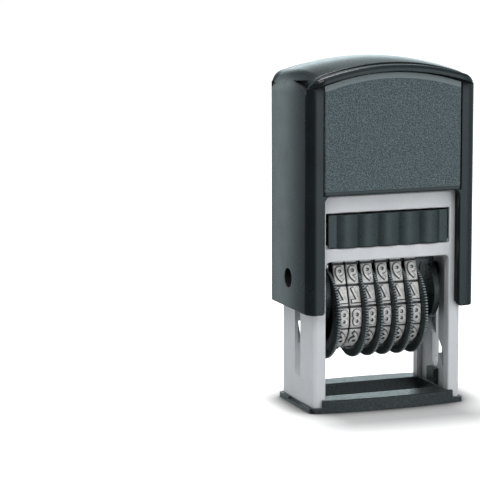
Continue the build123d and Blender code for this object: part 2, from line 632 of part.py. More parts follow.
def cheek(side):
    """Side plate of the carrier: round body, arm to the anvil, and the guide pin for the cam."""
    face = Pos(0, CHEEK_Z) * Circle(CHEEK_R)
    arm_tall = ANVIL_TOP_Z - ARM_SHORT - CHEEK_Z
    face += Pos(0, CHEEK_Z) * Rectangle(2 * ARM_HALF_D, arm_tall, align=(Align.CENTER, Align.MIN))
    face = fillet(face.vertices().group_by(Axis.Y)[-1], ARM_CORNER_R)
    face += Pos(CAM_ARM, FLIP_Z) * Circle(CAM_PIN_R + LUG_WALL)
    body = extrude(Plane.YZ.offset(CHEEK_INNER_X) * face, CHEEK_THICK)
    body = fillet(body.faces().sort_by(Axis.X)[-1].edges(), CHEEK_EDGE_R)
    cut_x = (CHEEK_INNER_X - OVERCUT, CHEEK_OUTER_X + OVERCUT)
    body -= rod_x(PIN_R + RUN_FIT, *cut_x, z=FLIP_Z)
    body -= rod_x(AXLE_R + SEAT_GAP / 2, *cut_x, z=WHEEL_Z)
    tenon_d = TENON_HALF_D + SEAT_GAP
    tenon_z = (ANVIL_LOW_Z - SEAT_GAP, ANVIL_LOW_Z + TENON_TALL + SEAT_GAP)
    body -= block(cut_x, (-tenon_d, tenon_d), tenon_z)
    pin_end = WINDOW_HALF_W + POCKET_DEEP + CAM_DEEP - CAM_CLEAR
    body += rod_x(CAM_PIN_R, CHEEK_OUTER_X - CHEEK_THICK / 2, pin_end, y=CAM_ARM, z=FLIP_Z)
    return body if side > 0 else mirror(body, Plane.YZ)


def print_anvil():
    """Bar under the printing line, with tenons for the cheeks and thin fins that keep the bands apart."""
    half_d = ANVIL_FLAT + ANVIL_CORNER_R
    tall = ANVIL_TOP_Z - ANVIL_LOW_Z
    foot = (Align.CENTER, Align.MIN)
    section = Pos(0, ANVIL_LOW_Z) * Rectangle(2 * half_d, tall, align=foot)
    section = fillet(section.vertices().group_by(Axis.Y)[-1], ANVIL_CORNER_R)
    bar = extrude(Plane.YZ.offset(-CHEEK_INNER_X) * section, 2 * CHEEK_INNER_X)
    tenon_z = (ANVIL_LOW_Z, ANVIL_LOW_Z + TENON_TALL)
    bar += block((-CHEEK_OUTER_X, CHEEK_OUTER_X), (-TENON_HALF_D, TENON_HALF_D), tenon_z)
    for number in range(2, BAND_COUNT):
        middle = band_x(number) + BAND_PITCH / 2
        fin = Pos(0, ANVIL_LOW_Z) * Rectangle(2 * (half_d + FIN_PROUD), tall + FIN_PROUD, align=foot)
        fin = fillet(fin.vertices().group_by(Axis.Y)[-1], FIN_PROUD)
        bar += extrude(Plane.YZ.offset(middle - FIN_THICK / 2) * fin, FIN_THICK)
    return bar


def wheel_axle():
    """Steel rod that the six wheels turn on."""
    reach = CHEEK_OUTER_X - 2 * SIDE_GAP
    return rod_x(AXLE_R, -reach, reach, z=WHEEL_Z)


def axle_spacer():
    """Sleeve that fills the axle between the last wheel and the right cheek."""
    start = CHEEK_INNER_X - SPACER_ROOM + SIDE_GAP
    sleeve = rod_x(AXLE_R + SPACER_WALL, start, CHEEK_INNER_X, z=WHEEL_Z)
    return sleeve - rod_x(AXLE_R + SEAT_GAP / 2, start - OVERCUT, CHEEK_OUTER_X, z=WHEEL_Z)


def all_parts():
    """Every piece by its name."""
    parts = {
        "frame": frame(),
        "base_foot": base_foot(),
        "return_spring": return_spring(),
        "cap_shell": cap_shell(),
        "front_label_panel": label_panel(),
        "back_label_panel": mirror(label_panel(), Plane.XZ),
        "axle_pins": axle_pins(),
        "cartridge_tray": cartridge_tray(),
        "ink_pad": ink_pad(),
        "left_cheek": cheek(-1),
        "right_cheek": cheek(1),
        "print_anvil": print_anvil(),
        "wheel_axle": wheel_axle(),
        "axle_spacer": axle_spacer(),
    }
    for number in range(1, BAND_COUNT + 1):
        parts[f"number_band_{number}"] = number_band(number)
        parts[f"setting_wheel_{number}"] = setting_wheel(number)
    return parts


if __name__ == "__main__":
    os.makedirs("parts", exist_ok=True)
    for name, shape in all_parts().items():
        export_step(shape, f"parts/{name}.step")
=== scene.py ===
"""Looks of the self-inking numbering machine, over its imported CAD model.

Metres, in the row's frame: X runs across the machine, -Y is its front, +Z is up. Sizes that a
person would measure are written in millimetres and turned into metres where a mesh is made.
"""
from math import asin, atan2, cos, pi, radians, sin, sqrt
import json

import bmesh
import bpy
from mathutils import Matrix, Vector


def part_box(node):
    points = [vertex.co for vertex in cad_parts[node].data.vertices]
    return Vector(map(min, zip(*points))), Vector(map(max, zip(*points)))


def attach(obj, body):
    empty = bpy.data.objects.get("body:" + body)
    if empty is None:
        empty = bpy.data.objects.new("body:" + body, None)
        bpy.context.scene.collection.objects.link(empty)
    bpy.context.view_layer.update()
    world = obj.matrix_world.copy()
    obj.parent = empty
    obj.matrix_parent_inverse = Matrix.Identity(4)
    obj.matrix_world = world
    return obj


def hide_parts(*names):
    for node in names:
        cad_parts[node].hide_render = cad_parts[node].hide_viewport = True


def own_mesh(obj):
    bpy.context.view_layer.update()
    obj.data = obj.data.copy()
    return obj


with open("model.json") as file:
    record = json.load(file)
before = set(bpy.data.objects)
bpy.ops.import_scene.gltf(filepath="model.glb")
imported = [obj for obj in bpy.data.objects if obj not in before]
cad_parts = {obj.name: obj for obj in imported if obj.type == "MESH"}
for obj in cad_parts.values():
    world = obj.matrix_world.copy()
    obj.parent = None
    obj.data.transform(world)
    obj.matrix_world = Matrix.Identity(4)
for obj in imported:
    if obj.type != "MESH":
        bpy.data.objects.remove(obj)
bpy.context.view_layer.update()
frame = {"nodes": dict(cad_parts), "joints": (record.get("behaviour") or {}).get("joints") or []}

MM = 0.001
NODES = frame["nodes"]

# ---------------------------------------------------------------- camera, from the photograph
IMAGE_SIDE = 480                           # pixels
FOCAL_PIXELS = 2300.0
CAMERA_AZIMUTH = radians(20.10)            # towards the machine's left
CAMERA_ELEVATION = radians(8.835)
CAMERA_ROLL = radians(-0.2)
CAMERA_DISTANCE = 461.05                   # millimetres, as the target is
CAMERA_TARGET = Vector((-28.61, 0.0, 34.83))
SENSOR = 36.0

# ---------------------------------------------------------------- number bands, in millimetres
BAND_COUNT = 6
BELT_THICK = 0.65
BELT_BEVEL = 0.12
BELT_SAMPLES = 180                         # round the belt
SEAT_GAP = 0.05                            # between the belt and what carries it
NOSE_R = 0.8                               # corners of the anvil
NOSE_HALF = 1.95                           # half width of the anvil's flat
PLATE_THICK = 0.7                          # a plate with its digit
RELIEF = 0.32                              # digits above their plates
PLATE_TOP = PLATE_THICK - RELIEF
PLATE_COUNT = 13
PLATE_GAP = 0.5
PLATE_BEVEL = 0.12
PLATE_SUNK = 0.05                          # the plates' sides reach this far into the belt
PLATE_STEPS = 8                            # quads along a plate
PLATE_COLUMNS = 4                          # and across it
PLATE_PROFILE = (                          # inset and height, from a plate's foot to its top
    (0.0, -PLATE_SUNK),
    (0.0, PLATE_TOP - PLATE_BEVEL),
    (PLATE_BEVEL * 0.3, PLATE_TOP - PLATE_BEVEL * 0.3),
    (PLATE_BEVEL, PLATE_TOP),
)
SYMBOLS = "0123456789-/."
FIRST_DIGIT = 4                            # on the plates that print
DIGIT_TALL = 3.05
DIGIT_WIDE = 1.62
DIGIT_BOLD = 0.09                          # strokes widened on each side
DIGIT_SUNK = 0.03                          # the digits reach this far into their plates
INK_EDGE = 0.27                            # inked outline of a digit, as a widened stroke too
INK_TALL = 0.09                            # that outline's thickness, with its sunk part
FONT_CAP_HEIGHT = 0.73                     # of the built-in font, for a size of 1
GLYPH_CURVE = 3                            # points on each curved stretch of a glyph
GLYPH_CUTS = 8                             # a glyph is cut level this often, to bend with a belt
RUBBER_SLOT = 0
INK_SLOT = 1

# ---------------------------------------------------------------- setting wheels, in millimetres
AXLE_HOLE_R = 1.3
DRUM_R = 6.5
DRUM_BEVEL = 0.1
DRUM_SIDES = 96
DISC_GAP = 0.1                             # between a finger disc and the band beside it
TOOTH_COUNT = 100
TOOTH_SAMPLES = 6                          # per tooth
TOOTH_DEEP = 0.3
TOOTH_ROUND = 0.6                          # below 1, the tips are broader than the gaps
TOOTH_START = 0.55                         # from the rim inwards
RIM_BEVEL = 0.16
RIM_SHARES = (0.2, 0.8)                    # rows of points across the disc's thickness
RIB_START_R = 7.9
RIB_LEAD = 0.3                             # flat ring before the ribs start
RIB_START = 0.25                           # share of their depth that they start with
RIB_RISE = 0.5                             # and the way to their full depth
RIB_DEEP = 0.22
TIP_GLINT_REACH = (0.16, 0.04)                  # from a tip inwards: where the painted glint starts, and is full

# ---------------------------------------------------------------- spring and pad, in millimetres
WIRE_R = 0.35
WIRE_SIDES = 12
COIL_TURNS = 6.5
COIL_SAMPLES = 26                          # per turn
PAD_COLUMNS, PAD_ROWS = 36, 24
PAD_CROWN = 0.3
PAD_RIM = 0.5                              # width of the rounded rim
PAD_RIM_DROP = 0.35
PAD_RIM_STEPS = 5

# ---------------------------------------------------------------- sharp edges, in degrees
BAND_SHARP = 35
WHEEL_SHARP = 50
SPRING_SHARP = 50
PAD_SHARP = 60
FLOOR_SHARP = 40

# ---------------------------------------------------------------- colours: linear red, green, blue
CHARCOAL = (0.007, 0.010, 0.012)           # the cap
CHARCOAL_CLOUD = (0.010, 0.014, 0.016)
CHARCOAL_WORN = (0.030, 0.040, 0.045)
# painted shade of the cap's corners and recesses
CHARCOAL_PAINTED_SHADE = (0.002, 0.003, 0.004)
PANEL = (0.030, 0.040, 0.045)
PANEL_LOW = (0.008, 0.015, 0.019)          # between the grains
PANEL_HIGH = (0.128, 0.168, 0.184)
PANEL_SLOPE_PAINTED_SHEEN = (0.150, 0.180, 0.190)        # smooth slope over the grain, painted paler as a highlight
PANEL_FOOT = (0.020, 0.027, 0.030)         # smooth lower edge
GREY = (0.56, 0.57, 0.59)                  # the frame
GREY_DARK = (0.535, 0.55, 0.57)
GREY_PALE = (0.59, 0.60, 0.62)
# painted shade of the frame's corners
GREY_PAINTED_SHADE = (0.27, 0.29, 0.30)
PIN = (0.006, 0.008, 0.009)
CARRIER = (0.010, 0.013, 0.014)
BLACK_WORN = (0.07, 0.08, 0.085)
BASE = (0.006, 0.008, 0.010)
BASE_LOW = (0.002, 0.003, 0.004)
BASE_HIGH = (0.030, 0.038, 0.041)
BASE_WORN = (0.075, 0.088, 0.092)
WHEEL = (0.011, 0.013, 0.015)
WHEEL_DARK = (0.012, 0.017, 0.018)
WHEEL_PALE = (0.028, 0.036, 0.038)
# painted highlight on the wheels' rib and tooth crests
WHEEL_CREST_HIGHLIGHT = (0.075, 0.097, 0.100)
# painted glint on the rubbed tips of the wheels' teeth
WHEEL_TIP_GLINT = (0.25, 0.28, 0.29)
TRAY = (0.022, 0.032, 0.036)
TRAY_DARK = (0.018, 0.026, 0.030)
TRAY_PALE = (0.030, 0.044, 0.046)
TRAY_WORN = (0.075, 0.088, 0.092)
# painted shade of the cartridge's closed-in places
TRAY_PAINTED_SHADE = (0.004, 0.006, 0.007)
RUBBER = (0.62, 0.62, 0.60)
RUBBER_CLEAN = (0.66, 0.66, 0.64)
RUBBER_SOILED = (0.36, 0.37, 0.37)
INK = (0.035, 0.037, 0.042)
INK_DARK = (0.020, 0.021, 0.025)
INK_PALE = (0.085, 0.088, 0.095)
FELT = (0.015, 0.018, 0.05)
FELT_DARK = (0.008, 0.010, 0.03)
FELT_PALE = (0.03, 0.035, 0.085)
STEEL = (0.58, 0.58, 0.59)
FLOOR = (0.55, 0.55, 0.55)
FLOOR_PALE = (0.56, 0.56, 0.56)
# painted contact shadow of the floor
FLOOR_SHADE = (0.10, 0.10, 0.102)
WHITE = (1, 1, 1)

# ---------------------------------------------------------------- extent of the finishes
NOISE_SPAN = (0.3, 0.7)                    # where nearly all of a noise's values lie
EDGE_SPAN = (0.98, 0.8)                    # flat and rounded normals' product: flat ground, edge
BEVEL_SAMPLES = 6
RECESS_SAMPLES = 10
SIDE_BOW_R = 85.0                          # the cap's sides shine as if bowed by this radius, mm
CLOUD_TIMES = 2.2                          # how much paler a black moulding's clouds are
CLOUD_GRAINS = 3                           # and their size, in grains
GRAIN_TOP_MARGIN = 1.15                    # millimetres of smooth panel above the grain
GRAIN_FOOT_MARGIN = 0.9                    # and below it
GRAIN_EDGE = 0.06                          # half width of the grain's edge, mm
PANEL_ARCH_FALL = 2.4                      # from the panel's middle to its sides, mm
FLOOR_GLOW_REACH = (0.0, 0.016)            # metres from the shaded rectangle
FLOOR_GLOW = (0.10, 0.80)
SHADE_HALF_W = 12.0                        # shaded rectangle under and before the object, mm
SHADE_HALF_D = 12.0
SHADE_Y = -7.0
CONTACT_REACH = 7.0                        # how far the contact shade spreads, mm

# ---------------------------------------------------------------- stage
FLOOR_REACH = 6.0                          # metres from the middle
LIGHT_AIM = (0, 0, 0.035)                  # middle of the machine, metres
LIGHTS = (                                 # name, place and size in metres, watts, shows in gloss
    ("key", (-0.35, -0.55, 0.75), (0.5, 0.5), 3.5, True),
    ("top", (-0.05, 0.28, 0.80), (0.45, 0.35), 4.5, True),
    ("left", (-0.9, 0.15, 0.35), (0.5, 0.7), 1.6, False),
    ("right", (0.8, -0.5, 0.4), (0.4, 0.6), 1.8, False),
    ("front", (0.25, -0.95, 0.22), (0.6, 0.4), 2.8, False),
)
SOFT_LIGHT = (0.95, 0.98, 1.0)
SOFT_STRENGTH = 0.35
RING_STRENGTH = 4.0
RING_TINT = (0.84, 1.0, 1.04)
STUDIO_RING = (            # share of a turn, from the front by left, rear and right; grey
    (0.0, 0.07),
    (0.04, 0.01),
    (0.25, 0.008),
    (0.38, 0.03),
    (0.42, 0.11),
    (0.45, 0.40),
    (0.485, 0.14),
    (0.52, 0.08),
    (0.55, 0.50),
    (0.64, 0.50),
    (0.75, 0.12),
    (0.88, 0.20),
    (0.93, 0.45),
    (0.96, 0.45),
    (1.0, 0.07),
)
STUDIO_RISE = (            # 0 straight down, 0.5 level, 1 straight up; grey
    (0.0, 0.2),
    (0.35, 0.5),
    (0.46, 0.8),
    (0.50, 1.0),
    (0.60, 1.0),
    (0.66, 0.45),
    (0.80, 0.30),
    (1.0, 0.5),
)


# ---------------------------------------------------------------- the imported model
def mm(*values):
    """A point given in millimetres, in metres."""
    return tuple(value * MM for value in values)


def box_mm(node):
    """Lowest and highest corner of a CAD node, in millimetres."""
    low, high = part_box(node)
    return tuple(v / MM for v in low), tuple(v / MM for v in high)


def frame_joint(name):
    """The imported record's joint of that name."""
    return next(joint for joint in frame["joints"] if joint["name"] == name)


# ---------------------------------------------------------------- mesh helpers
def turns(count):
    """Equal steps of a full turn, in radians."""
    return [2 * pi * i / count for i in range(count)]


def stepped(start, end, count, last=False):
    """Positions from start towards end in equal steps, without the end unless last is true."""
    return [start + (end - start) * i / count for i in range(count + last)]


def new_object(name, mesh, materials, sharp_angle):
    """An object with its materials, shaded smooth except at sharp edges."""
    piece = bpy.data.objects.new(name, mesh)
    bpy.context.scene.collection.objects.link(piece)
    for material in materials:
        mesh.materials.append(material)
    mesh.shade_smooth()
    mesh.set_sharp_from_angle(angle=radians(sharp_angle))
    return piece


def clean(mesh):
    """Joins doubled points, drops loose ones and turns every face outwards."""
    work = bmesh.new()
    work.from_mesh(mesh)
    bmesh.ops.remove_doubles(work, verts=work.verts, dist=0.002 * MM)
    loose = [v for v in work.verts if not v.link_faces]
    bmesh.ops.delete(work, geom=loose, context="VERTS")
    bmesh.ops.recalc_face_normals(work, faces=work.faces)
    work.to_mesh(mesh)
    work.free()


class Surface:
    """Points in millimetres, faces and material numbers of one mesh in the making."""

    def __init__(self):
        self.points = []
        self.faces = []
        self.slots = []

    def add(self, points, faces, slot=0):
        """More points, and faces that count from the first of them."""
        start = len(self.points)
        self.points += points
        self.faces += [tuple(start + i for i in face) for face in faces]
        self.slots += [slot] * len(faces)

    def grid(self, rows, slot=0, close_rows=False, close_columns=False):
        """Quads over a list of equally long rows of points."""
        count, wide = len(rows), len(rows[0])
        faces = []
        for i in range(count if close_rows else count - 1):
            for j in range(wide if close_columns else wide - 1):
                k, m = (i + 1) % count, (j + 1) % wide
                faces.append((i * wide + j, i * wide + m, k * wide + m, k * wide + j))
        self.add([p for row in rows for p in row], faces, slot)

    def piece(self, name, materials, sharp_angle):
        """The object that has these faces."""
        mesh = bpy.data.meshes.new(name)
        mesh.from_pydata([mm(*p) for p in self.points], [], self.faces)
        mesh.polygons.foreach_set("material_index", self.slots)
        mesh.validate()
        mesh.update()
        clean(mesh)
        return new_object(name, mesh, materials, sharp_angle)


# ---------------------------------------------------------------- node materials
def opaque(colour):
    """Three numbers with an alpha of 1. A socket stays as it is."""
    return (*colour, 1) if isinstance(colour, tuple) else colour


class Nodes:
    """Nodes of one tree in the making. Its methods return sockets."""

    def __init__(self, tree):
        self.tree = tree

    def node(self, kind, inputs=None, **settings):
        """A new node with its settings, and with its inputs linked or set."""
        made = self.tree.nodes.new(kind)
        for key, value in settings.items():
            setattr(made, key, value)
        for key, value in (inputs or {}).items():
            if isinstance(value, bpy.types.NodeSocket):
                self.tree.links.new(value, made.inputs[key])
            else:
                made.inputs[key].default_value = value
        return made

    def math(self, operation, first, second=0.0):
        return self.node("ShaderNodeMath", {0: first, 1: second}, operation=operation).outputs[0]

    def plus(self, first, second):
        return self.math("ADD", first, second)

    def minus(self, first, second):
        return self.math("SUBTRACT", first, second)

    def times(self, first, second):
        return self.math("MULTIPLY", first, second)

    def reach(self, across, along):
        """Length of a way that goes so far across and so far along."""
        return self.math("SQRT", self.plus(self.times(across, across), self.times(along, along)))

    def ramp(self, value, stops):
        """Grey levels along a value from 0 to 1."""
        made = self.node("ShaderNodeValToRGB", {0: value})
        levels = made.color_ramp.elements
        levels[0].position, levels[-1].position = stops[0][0], stops[-1][0]
        for place, _ in stops[1:-1]:
            levels.new(place)
        for level, (_, grey) in zip(levels, stops):
            level.color = (grey, grey, grey, 1)
        return made.outputs[0]

    def choose(self, share, first, second):
        """One shader or the other."""
        return self.node("ShaderNodeMixShader", {0: share, 1: first, 2: second}).outputs[0]


class Finish(Nodes):
    """A node material in the making."""

    def __init__(self, name, colour, roughness, specular=0.5, metallic=0.0):
        self.material = bpy.data.materials.new(name)
        self.material.use_nodes = True
        super().__init__(self.material.node_tree)
        self.shader = self.tree.nodes["Principled BSDF"]
        self.shader.inputs["Base Color"].default_value = opaque(colour)
        self.shader.inputs["Roughness"].default_value = roughness
        self.shader.inputs["Specular IOR Level"].default_value = specular
        self.shader.inputs["Metallic"].default_value = metallic
        self.coordinates = self.node("ShaderNodeTexCoord").outputs["Object"]

    def use(self, socket, output):
        """Links an output to one of the shader's sockets."""
        self.tree.links.new(output, self.shader.inputs[socket])

    def place(self):
        """X, Y and Z of the piece's own coordinates, in metres."""
        return self.node("ShaderNodeSeparateXYZ", {"Vector": self.coordinates}).outputs

    def noise(self, size_mm, detail=2.0, roughness=0.5, stretch=None):
        """Noise from 0 to 1 with features of about a size in millimetres."""
        vector = self.coordinates
        if stretch:
            vector = self.node("ShaderNodeMapping", {"Vector": vector, "Scale": stretch}).outputs[0]
        inputs = {
            "Vector": vector,
            "Scale": 1 / (size_mm * MM),
            "Detail": detail,
            "Roughness": roughness,
        }
        return self.node("ShaderNodeTexNoise", inputs).outputs["Fac"]

    def cells(self, size_mm):
        """Distance within round cells of about a size in millimetres."""
        inputs = {"Vector": self.coordinates, "Scale": 1 / (size_mm * MM)}
        return self.node("ShaderNodeTexVoronoi", inputs).outputs["Distance"]

    def grain(self, noise_mm, cell_mm, cell_share):
        """Height of a moulded grain: rough noise and round cells."""
        rough = self.noise(noise_mm, detail=2, roughness=0.6)
        return self.plus(rough, self.times(self.cells(cell_mm), cell_share))

    def spread(self, value, low, high, to_low=0.0, to_high=1.0):
        """A value's range from low to high, turned into another range and held within it."""
        inputs = {
            "Value": value,
            "From Min": low,
            "From Max": high,
            "To Min": to_low,
            "To Max": to_high,
        }
        return self.node("ShaderNodeMapRange", inputs).outputs[0]

    def follow(self, noise, low=0.0, high=1.0):
        """From low to high, as a noise goes."""
        return self.spread(noise, *NOISE_SPAN, low, high)

    def mix(self, share, first, second):
        """A colour between two, each a socket or three numbers."""
        inputs = {0: share, 6: opaque(first), 7: opaque(second)}
        return self.node("ShaderNodeMix", inputs, data_type="RGBA").outputs[2]

    def bump(self, height, depth_mm, base=None, strength=1.0):
        """Normal of a height from 0 to 1 that stands for a depth in millimetres."""
        inputs = {"Height": height, "Distance": depth_mm * MM, "Strength": strength}
        if base:
            inputs["Normal"] = base
        return self.node("ShaderNodeBump", inputs).outputs[0]

    def softened(self, radius_mm):
        """Normal with the sharp edges rounded off."""
        inputs = {"Radius": radius_mm * MM}
        return self.node("ShaderNodeBevel", inputs, samples=BEVEL_SAMPLES).outputs[0]

    def bowed(self, normal, radius_mm):
        """A normal turned as on a face that bulges slightly from front to back."""
        slope = self.math("DIVIDE", self.place()["Y"], radius_mm * MM)
        lean = self.node("ShaderNodeCombineXYZ", {"Y": slope}).outputs[0]
        turned = self.node("ShaderNodeVectorMath", {0: normal, 1: lean}, operation="ADD")
        inputs = {0: turned.outputs["Vector"]}
        return self.node("ShaderNodeVectorMath", inputs, operation="NORMALIZE").outputs["Vector"]

    def edge_wear(self, radius_mm):
        """From 0 on flat ground to 1 on an edge."""
        rounded = self.softened(radius_mm)
        flat = self.node("ShaderNodeNewGeometry").outputs["Normal"]
        aligned = self.node("ShaderNodeVectorMath", {0: rounded, 1: flat}, operation="DOT_PRODUCT")
        return self.spread(aligned.outputs["Value"], *EDGE_SPAN)

    def recess_shade(self, reach_mm, closed, clear):
        """From 0 in the open to 1 deep in a corner, by how open the surface's surroundings are."""
        inputs = {"Distance": reach_mm * MM}
        seen = self.node("ShaderNodeAmbientOcclusion", inputs, samples=RECESS_SAMPLES)
        return self.spread(seen.outputs["AO"], clear, closed)


def cap_finish():
    """Satin-gloss charcoal: faint orange peel, hairlines, rubbed edges, and dull corners darkened
    by painted shade.
    """
    made = Finish("charcoal_moulding", CHARCOAL, roughness=0.26)
    cloud = made.noise(6.0, detail=3)
    rubbed = made.times(made.edge_wear(0.35), made.noise(1.2, detail=4))
    colour = made.mix(made.spread(cloud, 0.35, 0.7), CHARCOAL, CHARCOAL_CLOUD)
    # painted shade: darker and duller where the surroundings close in
    recess_shade = made.recess_shade(reach_mm=2.8, closed=0.78, clear=0.95)
    rubbed = made.times(rubbed, made.minus(1.0, recess_shade))
    worn = made.mix(rubbed, colour, CHARCOAL_WORN)
    made.use("Base Color", made.mix(recess_shade, worn, CHARCOAL_PAINTED_SHADE))
    gloss = made.follow(made.noise(4.0, detail=3), 0.23, 0.29)
    made.use("Roughness", made.plus(gloss, made.times(recess_shade, 0.6)))
    bowed = made.bowed(made.softened(0.25), SIDE_BOW_R)
    peel = made.bump(made.noise(1.2, detail=2), depth_mm=0.0008, base=bowed)
    hairline = made.spread(made.noise(0.22, detail=2, stretch=(0.04, 1.0, 0.6)), 0.70, 0.78)
    made.use("Normal", made.bump(hairline, depth_mm=0.002, base=peel, strength=0.5))
    return made.material


def panel_finish():
    """Fine-grained charcoal, smooth where the panel slopes away at its arched top and its foot, the
    top slope painted paler as a highlight.
    """
    low, high = box_mm("front_label_panel")
    half_w = high[0]
    arch_top = high[2] - GRAIN_TOP_MARGIN
    made = Finish("grained_charcoal", PANEL, roughness=0.5)
    x, _, z = made.place()[:3]
    fall = made.times(made.times(x, x), PANEL_ARCH_FALL / (half_w * half_w) / MM)
    above = made.minus(z, made.minus(arch_top * MM, fall))
    below = made.minus((low[2] + GRAIN_FOOT_MARGIN) * MM, z)
    outside = made.math("MAXIMUM", above, below)
    grained = made.spread(outside, GRAIN_EDGE * MM, -GRAIN_EDGE * MM)
    grain = made.grain(0.17, 0.26, 0.4)
    tone = made.mix(made.spread(grain, 0.52, 0.95), PANEL_LOW, PANEL_HIGH)
    foot = made.spread(below, -GRAIN_EDGE * MM, GRAIN_EDGE * MM)
    # painted highlight: the smooth top slope is paler; the foot keeps a plain dark colour
    smooth = made.mix(foot, PANEL_SLOPE_PAINTED_SHEEN, PANEL_FOOT)
    made.use("Base Color", made.mix(grained, smooth, tone))
    made.use("Roughness", made.spread(grained, 0, 1, 0.33, 0.55))
    height = made.times(grain, grained)
    made.use("Normal", made.bump(height, depth_mm=0.045, base=made.softened(0.15)))
    return made.material


def frame_finish():
    """Satin light grey moulding with a very fine spark texture, and painted shade in its corners.
    """
    made = Finish("light_grey_moulding", GREY, roughness=0.42)
    colour = made.mix(made.follow(made.noise(5.0, detail=3)), GREY_DARK, GREY_PALE)
    # painted shade: darker where the surroundings close in
    recess_shade = made.recess_shade(reach_mm=5.0, closed=0.25, clear=0.70)
    made.use("Base Color", made.mix(recess_shade, colour, GREY_PAINTED_SHADE))
    made.use("Roughness", made.follow(made.noise(0.8, detail=3), 0.36, 0.46))
    spark = made.noise(0.22, detail=3)
    made.use("Normal", made.bump(spark, depth_mm=0.006, base=made.softened(0.18)))
    return made.material


def black_finish(name, colour, roughness, grain_mm, depth_mm):
    """Dark moulding for the carrier's pieces and the pins, its edges rubbed."""
    made = Finish(name, colour, roughness)
    pale = tuple(CLOUD_TIMES * v for v in colour)
    worn = made.times(made.edge_wear(0.2), 0.7)
    cloudy = made.mix(made.noise(grain_mm * CLOUD_GRAINS, detail=3), colour, pale)
    made.use("Base Color", made.mix(worn, cloudy, BLACK_WORN))
    gloss = made.follow(made.noise(0.7, detail=3), roughness - 0.05, roughness + 0.08)
    made.use("Roughness", gloss)
    grain = made.noise(grain_mm, detail=3)
    made.use("Normal", made.bump(grain, depth_mm, base=made.softened(0.15)))
    return made.material


def base_finish():
    """Coarse-grained black moulding of the base ring, its edges rubbed."""
    made = Finish("black_base", BASE, roughness=0.36)
    grain = made.grain(0.22, 0.34, 0.35)
    tone = made.mix(made.spread(grain, 0.5, 0.9), BASE_LOW, BASE_HIGH)
    made.use("Base Color", made.mix(made.edge_wear(0.25), tone, BASE_WORN))
    made.use("Roughness", made.follow(made.noise(0.7, detail=3), 0.26, 0.38))
    made.use("Normal", made.bump(grain, depth_mm=0.05, base=made.softened(0.35)))
    return made.material


def wheel_finish():
    """Black moulding of the setting wheels, with a painted highlight on the crests of their ribs
    and teeth and a painted glint on the rubbed tips of their teeth.
    """
    made = Finish("black_wheel", WHEEL, roughness=0.34)
    _, axle_y, axle_z = frame_joint("wheel_spin_1")["pos_m"]
    low, high = box_mm("setting_wheel_1")
    tip_r = (high[1] - low[1]) / 2
    _, y, z = made.place()[:3]
    across, up = made.minus(y, axle_y), made.minus(z, axle_z)
    reach = made.reach(across, up)
    tip = made.spread(reach, *((tip_r - inwards) * MM for inwards in TIP_GLINT_REACH))
    # painted highlight: paler on the crests of the ribs and teeth
    wave = made.math("COSINE", made.times(made.math("ARCTAN2", up, across), TOOTH_COUNT))
    outwards = made.spread(reach, RIB_START_R * MM, tip_r * MM)
    crest_highlight = made.times(made.spread(wave, 0.1, -0.8), outwards)
    plain = made.mix(made.noise(0.6, detail=3), WHEEL_DARK, WHEEL_PALE)
    body = made.mix(crest_highlight, plain, WHEEL_CREST_HIGHLIGHT)
    # painted glint on the tooth tips, patchy as on rubbed tips
    rubbed = made.times(tip, made.spread(made.noise(0.5, detail=3), 0.25, 0.6, 0.3, 1.0))
    made.use("Base Color", made.mix(rubbed, body, WHEEL_TIP_GLINT))
    made.use("Roughness", made.follow(made.noise(0.7, detail=3), 0.28, 0.40))
    grain = made.noise(0.25, detail=3)
    made.use("Normal", made.bump(grain, depth_mm=0.01, base=made.softened(0.12)))
    return made.material


def tray_finish():
    """Dark green-grey moulding of the ink cartridge, a little duller than the cap, with painted
    shade where it is closed in.
    """
    made = Finish("cartridge_moulding", TRAY, roughness=0.30)
    tone = made.mix(made.noise(4.0, detail=2), TRAY_DARK, TRAY_PALE)
    rubbed = made.mix(made.times(made.edge_wear(0.15), 0.4), tone, TRAY_WORN)
    # painted shade: darker where the surroundings close in
    recess_shade = made.recess_shade(reach_mm=3.0, closed=0.55, clear=0.92)
    made.use("Base Color", made.mix(recess_shade, rubbed, TRAY_PAINTED_SHADE))
    made.use("Roughness", made.follow(made.noise(0.8, detail=2), 0.26, 0.36))
    ripple = made.noise(1.5, detail=2)
    made.use("Normal", made.bump(ripple, depth_mm=0.002, base=made.softened(0.15)))
    return made.material


def rubber_finish():
    """Light grey rubber of the number bands, soiled in patches."""
    made = Finish("light_grey_rubber", RUBBER, roughness=0.55)
    soil = made.noise(0.8, detail=4)
    made.use("Base Color", made.mix(made.spread(soil, 0.42, 0.75), RUBBER_CLEAN, RUBBER_SOILED))
    made.use("Roughness", made.follow(soil, 0.45, 0.62))
    grain = made.noise(0.3, detail=3)
    made.use("Normal", made.bump(grain, depth_mm=0.02, base=made.softened(0.08)))
    return made.material


def ink_finish():
    """Old ink on the belts, round the digits and on their sides."""
    made = Finish("dried_ink", INK, roughness=0.5)
    made.use("Base Color", made.mix(made.noise(0.5, detail=3), INK_DARK, INK_PALE))
    made.use("Normal", made.bump(made.noise(0.2, detail=2), depth_mm=0.02))
    return made.material


def felt_finish():
    """Ink-soaked felt."""
    made = Finish("inked_felt", FELT, roughness=0.8, specular=0.3)
    fibre = made.noise(0.12, detail=4, roughness=0.7, stretch=(1.0, 1.0, 0.3))
    made.use("Base Color", made.mix(fibre, FELT_DARK, FELT_PALE))
    made.use("Normal", made.bump(fibre, depth_mm=0.08))
    return made.material


def steel_finish(name, roughness):
    """Drawn steel with fine lines along X."""
    made = Finish(name, STEEL, roughness, metallic=1.0)
    gloss = made.follow(made.noise(0.6, detail=3), roughness - 0.06, roughness + 0.1)
    made.use("Roughness", gloss)
    lines = made.noise(0.08, detail=2, stretch=(0.1, 1.0, 1.0))
    made.use("Normal", made.bump(lines, depth_mm=0.004))
    return made.material


